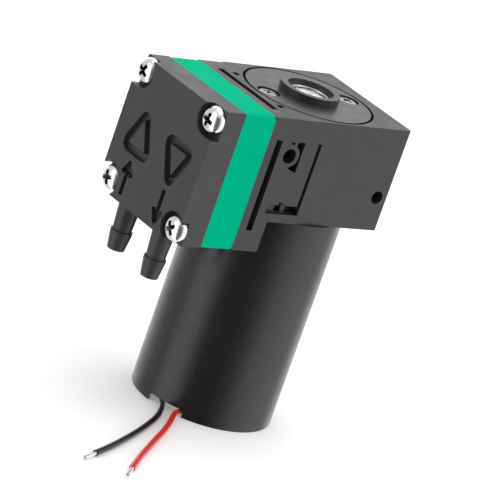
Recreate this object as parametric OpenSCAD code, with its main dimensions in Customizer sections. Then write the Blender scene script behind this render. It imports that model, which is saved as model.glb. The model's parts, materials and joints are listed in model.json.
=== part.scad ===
// Micro diaphragm pump driven by a small brushed motor.
// The motor axis is Z, the pump head faces -Y, and z = 0 is the rim that the motor stands on.

/* [Motor] */
// Outside diameter of the motor sleeve
sleeve_d = 28; // [26:0.5:30]
// Wall thickness of the motor sleeve
sleeve_wall = 0.7; // [0.5:0.1:1]
// Length of the motor from its bottom rim to the crank housing
motor_len = 43.1; // [40:0.1:50]
// Depth of the recess between the rim and the end cap
rim_drop = 2.4; // [2:0.1:3]
// Width of the notch in the rim that the leads leave through
notch_w = 7.8; // [6:0.1:9]
// Height of that notch
notch_h = 1.5; // [1.3:0.1:1.8]
// Wall thickness of the motor can
can_wall = 1; // [0.8:0.1:1.4]
// Diameter of the motor shaft
shaft_d = 2.5; // [2:0.1:2.5]
// Thickness of the two arc magnets
magnet_t = 2.6; // [2:0.1:3]
// Length of the magnets
magnet_len = 24; // [20:1:26]
// Length of the armature's iron core
core_len = 18; // [14:1:20]
// Gap between the magnets and the armature
air_gap = 0.4; // [0.3:0.1:0.6]
// Thickness of the plastic end cap
cap_t = 2.4; // [2:0.1:3]

/* [Housing] */
// Width of the head, the valve plate and the housing
body_w = 26.6; // [26.6:0.2:30]
// Height of the crank housing above the motor
housing_h = 20.6; // [20.2:0.1:24]
// Distance from the motor axis to the rear face
housing_back = 15.5; // [14.6:0.1:18]
// Distance from the motor axis to the back of the front flange
flange_back = 11.6; // [11.6:0.1:13]
// Thickness of the front flange
flange_t = 5.6; // [5.2:0.1:6]
// Gap between the motor sleeve and the lower part of the flange
flange_clear = 0.85; // [0.8:0.05:1]
// Thickness of the housing floor over the motor
floor_t = 1.8; // [1.4:0.1:2]
// Radius on the outer edges of the moulded blocks
edge_r = 0.5; // [0.2:0.1:0.8]

/* [Bearing cover] */
// Distance from the round cover's edge to the side faces
cover_margin = 0.6; // [0.5:0.1:1]
// Width of the ledge that the cover sits on
cover_ledge = 1.2; // [1:0.1:1.6]
// Thickness of the cover
cover_t = 1.8; // [1.6:0.1:2.2]
// Gap round the cover
cover_gap = 0.2; // [0.1:0.05:0.25]
// Outside diameter of the raised bearing ring
ring_d = 11.7; // [11:0.1:12]
// Height of the raised ring above the cover
ring_h = 1.5; // [1.2:0.1:1.8]
// Distance of the cover screws from the axis
cover_screw_at = 9.6; // [9.4:0.1:9.8]

/* [Pump head] */
// Height of the head, the valve plate and the front flange
head_h = 26.9; // [26.4:0.1:28]
// Thickness of the head
head_t = 6.2; // [6:0.1:8]
// Thickness of the valve plate
plate_t = 7.1; // [7:0.1:9]
// Spacing of the head screws across the width
screw_dx = 21.8; // [21.6:0.1:22]
// Spacing of the head screws along the height
screw_dz = 21.6; // [21.4:0.1:21.8]
// Depth of the pockets that the screw heads sit in
pocket_depth = 1.85; // [1.6:0.05:2]
// Diameter of those pockets
pocket_d = 6.4; // [6.2:0.1:6.6]
// Width of the upper pockets where they run out through the top face
pocket_top_w = 5.2; // [5:0.1:6]
// Shank diameter of the head screws, the mean of a 3 mm thread
screw_d = 2.6; // [2.4:0.1:2.8]
// Head diameter of the head screws
screw_head_d = 5.5; // [5:0.1:5.6]
// Head height of the head screws
screw_head_h = 1.9; // [1.6:0.1:2]

/* [Hose barbs] */
// Distance between the two barbs
barb_spacing = 11.6; // [11:0.1:12]
// Length of a barb below the head
barb_len = 9.4; // [8:0.1:11]
// Diameter of the crest that grips the hose
barb_crest_d = 4.3; // [4.2:0.1:4.6]
// Length of the cylindrical land on the crest
crest_land = 0.5; // [0.4:0.1:0.8]
// Length of the crest and its lead-in taper
barb_grip = 3.8; // [3:0.1:4.4]
// Diameter of the shank at the head
barb_root_d = 4.4; // [4:0.1:4.6]
// Diameter of the shank under the crest
barb_neck_d = 3.7; // [3.4:0.1:3.9]
// Diameter at the tip
barb_tip_d = 3.4; // [3:0.1:3.6]
// Bore of the barbs
barb_bore = 2; // [1.6:0.1:2.2]

/* [Diaphragm drive] */
// Throw of the eccentric, half of the stroke
throw = 1.2; // [0.8:0.1:1.2]
// Diameter of the diaphragm
diaphragm_d = 24; // [22.4:0.1:24]
// Width of the clamped rim
rim_w = 2.4; // [2:0.1:2.6]
// Thickness of the clamped rim
rim_t = 1.2; // [1:0.1:1.4]
// Thickness of the flexing web
web_t = 0.7; // [0.5:0.1:0.8]
// Thickness of the diaphragm hub
hub_t = 1.9; // [1.6:0.1:2]
// Diameter of the diaphragm hub
hub_d = 8.8; // [8:0.1:9.2]
// Height of the connecting rod
rod_h = 5; // [4.6:0.1:5]
// Width of the rod's shank
rod_w = 6; // [5:0.1:6.4]

/* [Valves] */
// Diameter of a valve disc
valve_d = 6.4; // [6:0.1:6.6]
// Thickness of a valve disc
valve_t = 0.5; // [0.4:0.1:0.6]
// Lift of a valve disc
valve_lift = 0.6; // [0.4:0.1:0.6]

/* [Side openings] */
// Width of the long slots behind the valve plate
slot_w = 1.4; // [1.2:0.05:1.6]
// Depth of those slots
slot_depth = 2.5; // [2:0.1:2.6]
// Thickness of the flange in front of the slots
slot_skin = 1.8; // [1.6:0.05:2]
// Wall between those slots and the head screws
slot_wall = 0.4; // [0.4:0.05:0.8]
// Diameter of the hole in the side boss
side_hole_d = 2.9; // [2.5:0.1:3]
// Depth of that hole
side_hole_depth = 4.5; // [4:0.1:4.6]
// Diameter of the side boss
side_boss_d = 4.5; // [4.3:0.1:4.6]
// Distance of the side boss in front of the motor axis
side_boss_at = 11.3; // [11.2:0.1:11.5]
// Height of the side boss above the motor
side_boss_up = 13.3; // [13:0.1:14]
// Diameter of the rear side hole
rear_hole_d = 2.6; // [2.4:0.1:2.8]
// Depth of the rear side hole
rear_hole_depth = 5.5; // [5:0.1:6]
// Distance of the rear side hole from the rear face
rear_hole_in = 2.6; // [2.4:0.1:3]
// Distance of the rear side hole below the top face
rear_hole_drop = 13.9; // [12:0.1:15]
// Depth of the openings round the side panel
panel_depth = 2.2; // [1.6:0.1:2.4]
// Width of the thin slot behind the side panel
panel_slot_w = 0.75; // [0.5:0.05:0.8]
// Distance of that slot in front of the motor axis
panel_slot_at = 5; // [4.8:0.1:5.4]
// Width of the side panel from that slot to its front edge
panel_w = 7; // [6.6:0.1:7]
// Height of the panel's lower edge above the motor
panel_low = 1.7; // [1.6:0.1:2]
// Height of the panel's upper edge above the motor
panel_high = 16.2; // [16:0.1:17]
// Height of the recess along the lower edge
panel_recess_h = 1.8; // [1.6:0.1:2]
// Width of the cored column beside the boss
column_w = 1.6; // [1.4:0.1:1.7]
// Width of the two notches in the top face
notch_w_top = 1.3; // [1.1:0.1:1.5]
// Distance of those notches from the middle
notch_at = 7.4; // [7:0.1:8]

/* [Bearings] */
// Bore of the rod bearing
rod_bearing_bore = 6; // [5:0.5:6]
// Outside diameter of the rod bearing
rod_bearing_d = 10; // [10:0.5:11]
// Width of the rod bearing
rod_bearing_w = 3; // [2.5:0.5:3]
// Radius of its balls
rod_ball_r = 0.5; // [0.4:0.05:0.5]
// Number of its balls
rod_balls = 9; // [8:1:10]
// Bore of the top bearing
top_bearing_bore = 4; // [4:0.5:4.5]
// Outside diameter of the top bearing
top_bearing_d = 9; // [9:0.1:9.2]
// Width of the top bearing
top_bearing_w = 4; // [3:0.5:4]
// Radius of its balls
top_ball_r = 0.6; // [0.5:0.05:0.6]
// Number of its balls
top_balls = 7; // [6:1:8]

/* [Leads] */
// Diameter of a lead
lead_d = 1.2; // [1:0.1:1.4]

/* [Hidden] */
$fn = 64;
press_gap = 0.02;
run_gap = 0.04;
free_gap = 0.15;
motion_gap = 0.3;
eps = 0.01;
over = 1;

top_z = motor_len + housing_h;
cover_d = body_w - 2 * cover_margin;
chamber_d = cover_d - 2 * cover_ledge;
head_mid = top_z - head_h / 2;
head_bottom = top_z - head_h;
plate_back = -(flange_back + flange_t);
plate_front = plate_back - plate_t;
head_front = plate_front - head_t;
barb_y = (plate_front + head_front) / 2;
floor_top = motor_len + floor_t;
cover_seat = top_z - cover_t;

sleeve_r = sleeve_d / 2;
can_r = sleeve_r - sleeve_wall - press_gap;
can_in_r = can_r - can_wall;
can_top_t = 1.2;
nose_d = 6;
nose_h = 1.5;
bush_d = 4.4;
washer_d = 5;
cap_boss_d = 7.4;
end_turn_h = 2;
end_turn_grow = 0.3;
magnet_half_angle = 66;
core_r = can_in_r - magnet_t - air_gap;
core_z = (motor_len - core_len) / 2 + 3.4;
magnet_z = core_z + core_len / 2 - magnet_len / 2;
shaft_r = shaft_d / 2;
cap_top = rim_drop + cap_t;
boss_drop = 1.2;
shaft_low = rim_drop - boss_drop + 0.4;
comm_d = 7;
comm_len = 4.4;
comm_z = cap_top + 2;
brush_len = 3.2;
brush_w = 2.4;
brush_h = 2.8;
arm_t = 0.4;
arm_at = comm_d / 2 + run_gap + brush_len;
tab_w = 2.2;
tab_t = 0.5;
tab_drop = 1.8;
tab_at = arm_at + 1.2;
poles = 5;
notch_turn = -68;
notch_cut = 6;
motor_screw_at = 8;
motor_screw_d = 2.5;
motor_screw_head_d = 4.4;
motor_screw_head_h = 1.4;

rod_bearing = [rod_bearing_bore, rod_bearing_d, rod_bearing_w, rod_ball_r, rod_balls];
top_bearing = [top_bearing_bore, top_bearing_d, top_bearing_w, top_ball_r, top_balls];
rod_eye_d = rod_bearing[1] + 3.6;
rod_low = head_mid - rod_h / 2;
rod_high = head_mid + rod_h / 2;
weight_z = rod_high + motion_gap;
weight_h = 3.4;
weight_r = chamber_d / 2 - 1.3;
collar_d = rod_bearing[0] + 1.2;
sleeve_hub_d = 6.4;
weight_hub_d = 9.4;
weight_half_angle = 80;
top_bearing_top = top_z + ring_h - 1;
top_bearing_low = top_bearing_top - top_bearing[2];
top_lip_t = 0.6;
grub_d = 2;

hub_back = plate_back - rim_t / 2 + throw + hub_t / 2;
hub_front = hub_back - hub_t;
disc_t = 1;
disc_d = 9.2;
foot_d = 10.4;
foot_t = 1.2;
roof_y = hub_front - disc_t - 2 * throw - motion_gap;
chamber_r = diaphragm_d / 2 - rim_w - free_gap;
back_recess = 2;
gate_w = foot_d + 2 * throw + 2 * motion_gap;
gate_h = 2 * (head_mid - floor_top);
centre_screw_d = 2.5;
centre_screw_len = 6;
centre_head_d = 4.4;
centre_head_h = 0.8;
rod_pocket_w = 3.8;
rod_pocket_len = 4.4;
rod_pocket_t = 1;

valve_pocket_d = valve_d + 1;
valve_pocket = valve_t + valve_lift + 0.2;
port_d = 1.2;
seal_w = 1.2;
seal_t = 0.7;
seal_r = valve_pocket_d / 2 + 0.8 + seal_w;

cover_screw_d = 2;
cover_screw_head_d = 4.1;
cover_screw_head_h = 1.1;
cover_screw_bore_d = 4.5;
cover_screw_len = 4;
cover_screw_sink = 0.1;
cover_screw_z = top_z - cover_screw_head_h - cover_screw_sink;
cover_boss_d = 4.8;
cover_boss_h = 4.9;
boss_web_w = 2;
boss_web_in = 0.6;
boss_web_from = cover_screw_at + cover_boss_d / 2 - boss_web_in;
boss_web_len = max(chamber_d / 2 - boss_web_from, 0) + boss_web_in;

slot_back = plate_back + slot_skin;
slot_len_x = screw_dx - screw_d - 2 * slot_wall;
slot_len_z = screw_dz - screw_d - 2 * slot_wall;
column_back = -side_boss_at + side_boss_d / 2 + 0.45;
column_low = 10.1;
panel_back = -panel_slot_at + panel_slot_w / 2;
panel_front = panel_back - panel_slot_w - panel_w;
recess_depth = 1;
notch_len_top = 1.3;
notch_depth_top = 2;
notch_back = 2.6;

lead_r = lead_d / 2;
tip_d = 0.8;
tip_len = 4.5;
black_route = [[-7.9, -1.2, 1.1], [-7.8, -2.8, 1], [-7.1, -4.8, 1], [-5.6, -6.9, 0.9], [-3.4, -8.8, 0.9],
    [-0.8, -10.3, 0.8], [1.9, -11.4, 0.7], [4.4, -12.7, 0.6], [6.8, -14.6, 0.6], [9.3, -17.1, 0.6],
    [11.5, -19.8, 0.6], [13.6, -22.7, 0.6], [15.7, -25.8, 0.6], [17.8, -29.1, 0.6], [19.8, -32.4, 0.6],
    [21.8, -35.8, 0.6], [23.6, -39.1, 0.6], [25.2, -42.2, 0.6]];
red_route = [[7.9, -1.2, 1.1], [8.1, -2.4, 1], [8.2, -3.8, 1], [8.1, -5.4, 0.9], [7.8, -7.1, 0.8],
    [7.5, -8.8, 0.7], [7.4, -10.4, 0.6], [8.1, -12.2, 0.6], [9.7, -13.9, 0.6], [12.1, -16.2, 0.6],
    [14.6, -18.9, 0.6], [17.1, -21.8, 0.6], [19.7, -25, 0.6], [22.4, -28.2, 0.6], [25.1, -31.4, 0.6],
    [27.8, -34.4, 0.6], [30.6, -37.4, 0.6]];

// Puts its children in a plane that faces the pump head: their x is X, their y is Z, their z points to -Y.
module facing_head(y, x = 0, z = head_mid) {
    translate([x, y, z]) rotate([90, 0, 0]) children();
}

// Puts its children on both side faces: their x is Y, their y is Z, and their z points into the housing.
module on_both_sides() {
    translate([body_w / 2, 0, 0]) rotate([90, 0, 90]) mirror([0, 0, 1]) children();
    translate([-body_w / 2, 0, 0]) rotate([90, 0, 90]) children();
}

module at_head_screws() {
    for (sx = [-1, 1], sz = [-1, 1])
        translate([sx * screw_dx / 2, sz * screw_dz / 2, 0]) children();
}

module at_motor_screws() {
    for (sx = [-1, 1]) translate([sx * motor_screw_at, 0, 0]) children();
}

module at_cover_screws() {
    for (sy = [-1, 1]) translate([0, sy * cover_screw_at, 0]) children();
}

module rounded_rect(w, h, r) {
    square([w - 2 * r, h], center = true);
    square([w, h - 2 * r], center = true);
    for (sx = [-1, 1], sy = [-1, 1])
        translate([sx * (w / 2 - r), sy * (h / 2 - r)]) circle(r = r);
}

module tube(outer_d, inner_d, h) {
    difference() {
        cylinder(d = outer_d, h = h);
        translate([0, 0, -over]) cylinder(d = inner_d, h = h + 2 * over);
    }
}

module ring_sector(r_in, r_out, h, half_angle) {
    rotate([0, 0, -half_angle]) rotate_extrude(angle = 2 * half_angle)
        translate([r_in, 0]) square([r_out - r_in, h]);
}

module cross_recess(w, depth) {
    arm = w / 4;
    for (turn = [45, 135])
        rotate([0, 0, turn]) translate([-w / 2, -arm / 2, -depth]) cube([w, arm, depth + over]);
    translate([0, 0, -depth * 1.3]) cylinder(d1 = arm * 0.6, d2 = w * 0.62, h = depth * 1.3 + eps);
}

// A pan-head screw that stands on z = 0, its shank below and its crowned head above.
module pan_screw(d, len, head_d, head_h) {
    side_h = head_h * 0.45;
    crown_h = head_h - side_h;
    crown_r = (head_d * head_d / 4 + crown_h * crown_h) / (2 * crown_h);
    difference() {
        union() {
            translate([0, 0, -len]) cylinder(d = d, h = len + eps);
            translate([0, 0, -len - d / 4]) cylinder(d1 = d / 2, d2 = d, h = d / 4);
            cylinder(d = head_d, h = side_h);
            intersection() {
                translate([0, 0, head_h - crown_r]) sphere(r = crown_r);
                translate([0, 0, side_h - eps]) cylinder(d = head_d, h = head_h);
            }
        }
        translate([0, 0, head_h]) cross_recess(head_d * 0.6, head_h * 0.6);
    }
}

module barb() {
    shank = barb_len - barb_grip;
    translate([0, 0, -shank]) cylinder(d1 = barb_neck_d, d2 = barb_root_d, h = shank + eps);
    translate([0, 0, -shank - crest_land]) cylinder(d = barb_crest_d, h = crest_land);
    translate([0, 0, -barb_len]) cylinder(d1 = barb_tip_d, d2 = barb_crest_d, h = barb_grip - crest_land);
}

// The upper pockets run out through the corners; the lower ones are round and open at the lower corner.
module screw_pockets() {
    cut_h = pocket_depth + over;
    out_x = screw_dx / 2 + pocket_d / 2;
    out_z = screw_dz / 2 + pocket_d / 2;
    at_head_screws() cylinder(d = pocket_d, h = cut_h);
    for (sx = [-1, 1]) {
        translate([sx * out_x, screw_dz / 2, cut_h / 2]) cube([pocket_d, pocket_d, cut_h], center = true);
        translate([sx * (out_x + pocket_d / 2 - pocket_top_w), out_z, cut_h / 2])
            cube([pocket_d, pocket_d, cut_h], center = true);
        translate([sx * out_x, -out_z, cut_h / 2]) cube([pocket_d, pocket_d, cut_h], center = true);
    }
}

module pump_head() color([0.13, 0.13, 0.14]) {
    difference() {
        union() {
            facing_head(plate_front) linear_extrude(head_t) rounded_rect(body_w, head_h, edge_r);
            for (side = [-1, 1]) translate([side * barb_spacing / 2, barb_y, head_bottom]) barb();
        }
        facing_head(head_front + pocket_depth) screw_pockets();
        facing_head(plate_front + over) at_head_screws()
            cylinder(d = screw_d + 2 * free_gap, h = head_t + 2 * over);
        translate([-barb_spacing / 2, barb_y, head_bottom - barb_len - over])
            cylinder(d = barb_bore, h = head_mid - head_bottom + barb_len + over);
        translate([barb_spacing / 2, barb_y, head_bottom - barb_len - over])
            cylinder(d = barb_bore, h = head_mid - head_bottom + barb_len + 1 + valve_d / 2);
        facing_head(plate_front + over, -barb_spacing / 2)
            cylinder(d = valve_d / 2, h = plate_front - barb_y + over);
        facing_head(plate_front + over, barb_spacing / 2)
            cylinder(d = valve_pocket_d, h = valve_pocket + over);
        facing_head(plate_front, barb_spacing / 2, head_mid + valve_d / 2)
            cylinder(d = barb_bore * 0.8, h = plate_front - barb_y);
    }
}

// A line at distance r round both valve pockets.
module pocket_outline(r) {
    square([barb_spacing, 2 * r], center = true);
    for (side = [-1, 1]) translate([side * barb_spacing / 2, 0]) circle(r = r);
}

module head_seal() color([0.08, 0.08, 0.08]) {
    facing_head(plate_front + seal_t) linear_extrude(seal_t - press_gap) difference() {
        pocket_outline(seal_r);
        pocket_outline(seal_r - seal_w);
    }
}

module valve_plate() color([0, 0.72, 0.5]) {
    difference() {
        facing_head(plate_back) linear_extrude(plate_t) rounded_rect(body_w, head_h, edge_r);
        facing_head(plate_back + over) at_head_screws()
            cylinder(d = screw_d + 2 * free_gap, h = plate_t + 2 * over);
        facing_head(plate_back + over) cylinder(d = diaphragm_d + 2 * press_gap, h = rim_t + over);
        facing_head(plate_back - rim_t + eps)
            cylinder(r1 = chamber_r, r2 = disc_d / 2 + throw + motion_gap, h = plate_back - rim_t - roof_y);
        facing_head(plate_front + valve_pocket, -barb_spacing / 2)
            cylinder(d = valve_pocket_d, h = valve_pocket + over);
        for (turn = [45:90:315]) facing_head(plate_back - rim_t, -barb_spacing / 2) rotate([0, 0, turn])
            translate([valve_d / 2 - 0.1, 0, 0]) cylinder(d = port_d, h = plate_t);
        for (turn = [0:72:288]) facing_head(plate_back - rim_t, barb_spacing / 2) rotate([0, 0, turn])
            translate([valve_d / 3.4, 0, 0]) cylinder(d = port_d, h = plate_t);
        facing_head(plate_front + seal_t) linear_extrude(seal_t + over) difference() {
            pocket_outline(seal_r + press_gap);
            pocket_outline(seal_r - seal_w - press_gap);
        }
    }
}

module head_screws() color([0.8, 0.8, 0.82]) {
    reach = head_t - pocket_depth + plate_t + flange_t - 0.9;
    facing_head(head_front + pocket_depth) at_head_screws()
        pan_screw(screw_d, reach - screw_d / 4, screw_head_d, screw_head_h);
}

module valve_disc() {
    cylinder(d = valve_d, h = valve_t);
}

module inlet_valve() color([0.1, 0.1, 0.1]) {
    facing_head(plate_front + valve_t, -barb_spacing / 2) valve_disc();
}

module outlet_valve() color([0.1, 0.1, 0.1]) {
    facing_head(plate_front, barb_spacing / 2) valve_disc();
}

// Clamped rim, one rolled web and a thick hub; at rest the hub is drawn fully back.
module diaphragm() color([0.07, 0.07, 0.07]) {
    rim_in = diaphragm_d / 2 - rim_w;
    hub_r = hub_d / 2;
    hub_mid = -(hub_back + hub_front) / 2 + plate_back;
    roll_r = (rim_in - hub_r) / 2;
    facing_head(plate_back) rotate_extrude() difference() {
        union() {
            translate([rim_in, 0]) square([rim_w, rim_t]);
            polygon([[hub_r - 0.2, hub_mid - web_t / 2], [hub_r + roll_r, hub_mid - web_t / 2 + 0.2],
                [rim_in + 0.2, (rim_t - web_t) / 2], [rim_in + 0.2, (rim_t + web_t) / 2],
                [hub_r + roll_r, hub_mid + web_t / 2 + 0.3], [hub_r - 0.2, hub_mid + web_t / 2]]);
            translate([0, plate_back - hub_back]) square([hub_r, hub_t]);
        }
        translate([-1, -hub_t * 2]) square([1 + centre_screw_d / 2 + press_gap, hub_t * 4]);
    }
}

module clamp_disc() color([0.75, 0.75, 0.78]) {
    facing_head(hub_front) difference() {
        cylinder(d = disc_d, h = disc_t);
        translate([0, 0, -over]) cylinder(d = centre_screw_d + 2 * press_gap, h = disc_t + 2 * over);
        translate([0, 0, disc_t - centre_head_h])
            cylinder(d1 = centre_screw_d + 2 * press_gap, d2 = centre_head_d + 2 * press_gap,
                h = centre_head_h + eps);
    }
}

module diaphragm_screw() color([0.75, 0.75, 0.78]) {
    facing_head(hub_front - disc_t) difference() {
        union() {
            translate([0, 0, -centre_screw_len]) cylinder(d = centre_screw_d, h = centre_screw_len);
            translate([0, 0, -centre_head_h])
                cylinder(d1 = centre_screw_d, d2 = centre_head_d, h = centre_head_h);
        }
        cross_recess(centre_screw_d, centre_head_h * 0.9);
    }
}

// One-piece rod: an eye for the bearing, a waisted shank with lightening pockets and a round foot.
module connecting_rod() color([0.86, 0.86, 0.84]) {
    shank = throw - hub_back - foot_t;
    difference() {
        union() {
            translate([0, throw, rod_low]) cylinder(d = rod_eye_d, h = rod_h);
            translate([-rod_w / 2, hub_back + foot_t - eps, rod_low]) cube([rod_w, shank, rod_h]);
            facing_head(hub_back + foot_t) cylinder(d = foot_d, h = foot_t);
        }
        translate([0, throw, head_mid - rod_bearing[2] / 2])
            cylinder(d = rod_bearing[1] + 2 * press_gap, h = rod_h);
        translate([0, throw, rod_low - over]) cylinder(d = rod_bearing[1] - 1.2, h = rod_h + 2 * over);
        for (z = [rod_low - over, rod_high - rod_pocket_t])
            translate([-rod_pocket_w / 2, hub_front - disc_t + centre_screw_len + 1.2, z])
                cube([rod_pocket_w, rod_pocket_len, rod_pocket_t + over]);
        facing_head(hub_front - disc_t + centre_screw_len + 0.5)
            cylinder(d = centre_screw_d + 2 * press_gap, h = centre_screw_len + over);
    }
}

// Bearing values: bore, outside diameter, width, ball radius, ball count.
function pitch_r(b) = (b[0] + b[1]) / 4;

module race_groove(b) {
    rotate_extrude() translate([pitch_r(b), b[2] / 2]) circle(r = b[3] + 0.06);
}

module outer_race(b) {
    difference() {
        tube(b[1], 2 * pitch_r(b) + b[3] * 1.4, b[2]);
        race_groove(b);
    }
}

module inner_race(b) {
    difference() {
        tube(2 * pitch_r(b) - b[3] * 1.4, b[0], b[2]);
        race_groove(b);
    }
}

module ball_set(b) {
    for (i = [0:b[4] - 1])
        rotate([0, 0, i * 360 / b[4]]) translate([pitch_r(b), 0, b[2] / 2]) sphere(r = b[3]);
}

module ball_cage(b) {
    half_w = b[3] * 0.45;
    difference() {
        translate([0, 0, b[2] / 2 - b[3] * 0.4])
            tube(2 * (pitch_r(b) + half_w), 2 * (pitch_r(b) - half_w), b[3] * 1.7);
        for (i = [0:b[4] - 1])
            rotate([0, 0, i * 360 / b[4]]) translate([pitch_r(b), 0, b[2] / 2]) sphere(r = b[3] + 0.05);
    }
}

module at_rod_bearing() {
    translate([0, throw, head_mid - rod_bearing[2] / 2]) children();
}

module at_top_bearing() {
    translate([0, 0, top_bearing_low]) children();
}

module rod_bearing_outer() color([0.8, 0.81, 0.83]) at_rod_bearing() outer_race(rod_bearing);
module rod_bearing_inner() color([0.8, 0.81, 0.83]) at_rod_bearing() inner_race(rod_bearing);
module rod_bearing_balls() color([0.85, 0.86, 0.88]) at_rod_bearing() ball_set(rod_bearing);
module rod_bearing_cage() color([0.6, 0.6, 0.62]) at_rod_bearing() ball_cage(rod_bearing);
module top_bearing_outer() color([0.8, 0.81, 0.83]) at_top_bearing() outer_race(top_bearing);
module top_bearing_inner() color([0.8, 0.81, 0.83]) at_top_bearing() inner_race(top_bearing);
module top_bearing_balls() color([0.85, 0.86, 0.88]) at_top_bearing() ball_set(top_bearing);
module top_bearing_cage() color([0.6, 0.6, 0.62]) at_top_bearing() ball_cage(top_bearing);

// A thin shield in each face of the outer race; it clears the turning inner race.
module top_bearing_shields() color([0.75, 0.76, 0.78]) {
    shield_t = 0.25;
    outer_d = 2 * pitch_r(top_bearing) + top_bearing[3] * 1.4 - 2 * press_gap;
    inner_d = 2 * pitch_r(top_bearing) - top_bearing[3] * 1.4 + 0.3;
    at_top_bearing() for (z = [0.15, top_bearing[2] - 0.15 - shield_t])
        translate([0, 0, z]) tube(outer_d, inner_d, shield_t);
}

// Turned sleeve on the motor shaft: collar, offset journal, collar, hub and the stub in the top bearing.
module eccentric() color([0.7, 0.7, 0.72]) {
    journal_low = head_mid - rod_bearing[2] / 2;
    journal_high = journal_low + rod_bearing[2];
    difference() {
        union() {
            translate([0, throw, rod_low - motion_gap])
                cylinder(d = collar_d, h = journal_low - rod_low + motion_gap);
            translate([0, throw, journal_low - eps])
                cylinder(d = rod_bearing[0] - 2 * press_gap, h = rod_bearing[2] + 2 * eps);
            translate([0, throw, journal_high]) cylinder(d = collar_d, h = weight_z - journal_high);
            translate([0, 0, weight_z - eps]) cylinder(d = sleeve_hub_d, h = weight_h + eps);
            translate([0, 0, weight_z + weight_h - eps])
                cylinder(d = top_bearing[0] - 2 * press_gap, h = top_bearing_top - weight_z - weight_h + eps);
        }
        translate([0, 0, rod_low - over])
            cylinder(d = shaft_d + 2 * press_gap, h = top_bearing_low - rod_low);
        translate([0, 0, weight_z + weight_h / 2]) rotate([-90, 0, 0])
            cylinder(d = grub_d + 2 * press_gap, h = sleeve_hub_d);
    }
}

module counterweight() color([0.72, 0.6, 0.35]) {
    difference() {
        union() {
            translate([0, 0, weight_z]) cylinder(d = weight_hub_d, h = weight_h);
            translate([0, 0, weight_z]) rotate([0, 0, -90])
                ring_sector(1, weight_r, weight_h, weight_half_angle);
        }
        translate([0, 0, weight_z - over])
            cylinder(d = sleeve_hub_d + 2 * press_gap, h = weight_h + 2 * over);
        translate([0, 0, weight_z + weight_h / 2]) rotate([-90, 0, 0])
            cylinder(d = grub_d + 2 * press_gap, h = weight_hub_d);
    }
}

module grub_screw() color([0.25, 0.25, 0.27]) {
    translate([0, shaft_r + press_gap, weight_z + weight_h / 2]) rotate([-90, 0, 0]) difference() {
        cylinder(d = grub_d, h = weight_hub_d / 2 - shaft_r - 0.2);
        translate([0, 0, grub_d]) cylinder(d = grub_d * 0.45, h = weight_hub_d, $fn = 6);
    }
}

// Openings in one side face; x runs along Y, y along Z, and z into the housing.
module side_features() {
    // Long slot behind the valve plate.
    translate([slot_back, head_mid - slot_len_z / 2, -over]) cube([slot_w, slot_len_z, slot_depth + over]);
    // Cored column and small wedge beside the boss, with the boss left standing.
    translate([0, motor_len, -over]) linear_extrude(panel_depth + over) difference() {
        union() {
            polygon([[column_back - column_w, panel_high], [column_back, panel_high],
                [column_back, column_low], [column_back - 1.4 * column_w, column_low + 0.5 * column_w]]);
            translate([-side_boss_at, panel_high])
                polygon([[-0.7, -0.1], [0.6, -0.2], [0, -0.7]]);
        }
        translate([-side_boss_at, side_boss_up]) circle(d = side_boss_d);
    }
    translate([-side_boss_at, motor_len + side_boss_up, -over])
        cylinder(d = side_hole_d, h = side_hole_depth + over);
    // Thin slot behind the panel.
    translate([panel_back - panel_slot_w, motor_len + panel_low, -over])
        cube([panel_slot_w, panel_high - panel_low, panel_depth + over]);
    // Shallow recess along the panel's lower edge, with two deeper notches in it.
    translate([panel_front, motor_len + panel_low, -over])
        cube([panel_w + eps, panel_recess_h, recess_depth + over]);
    translate([0, motor_len + panel_low, -over]) linear_extrude(panel_depth + over) {
        polygon([[panel_front + 0.36 * panel_w, 0.2], [panel_front + 0.36 * panel_w, 1.35 * panel_recess_h],
            [panel_front + 0.56 * panel_w, 1.15 * panel_recess_h], [panel_front + 0.58 * panel_w, 0.2]]);
        polygon([[panel_front + 0.72 * panel_w, 0.1], [panel_front + 0.72 * panel_w, 0.9 * panel_recess_h],
            [panel_back - panel_slot_w + eps, 0.75 * panel_recess_h],
            [panel_back - panel_slot_w + eps, 0.1]]);
    }
    // Blind hole near the rear face.
    translate([housing_back - rear_hole_in, top_z - rear_hole_drop, -over])
        cylinder(d = rear_hole_d, h = rear_hole_depth + over);
}

module top_features() {
    translate([-slot_len_x / 2, slot_back, top_z - slot_depth]) cube([slot_len_x, slot_w, slot_depth + over]);
    for (side = [-1, 1])
        translate([side * notch_at - notch_w_top / 2, slot_back + notch_back, top_z - notch_depth_top])
            cube([notch_w_top, notch_len_top, notch_depth_top + over]);
}

module housing_block() {
    rear = housing_back - edge_r;
    front = flange_back;
    translate([0, 0, motor_len]) linear_extrude(housing_h) difference() {
        translate([0, (housing_back - front) / 2]) rounded_rect(body_w, housing_back + front, edge_r);
        translate([-body_w, -front - over]) square([2 * body_w, 1 + edge_r]);
    }
    facing_head(-flange_back + edge_r) linear_extrude(flange_t + edge_r) rounded_rect(body_w, head_h, edge_r);
}

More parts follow.
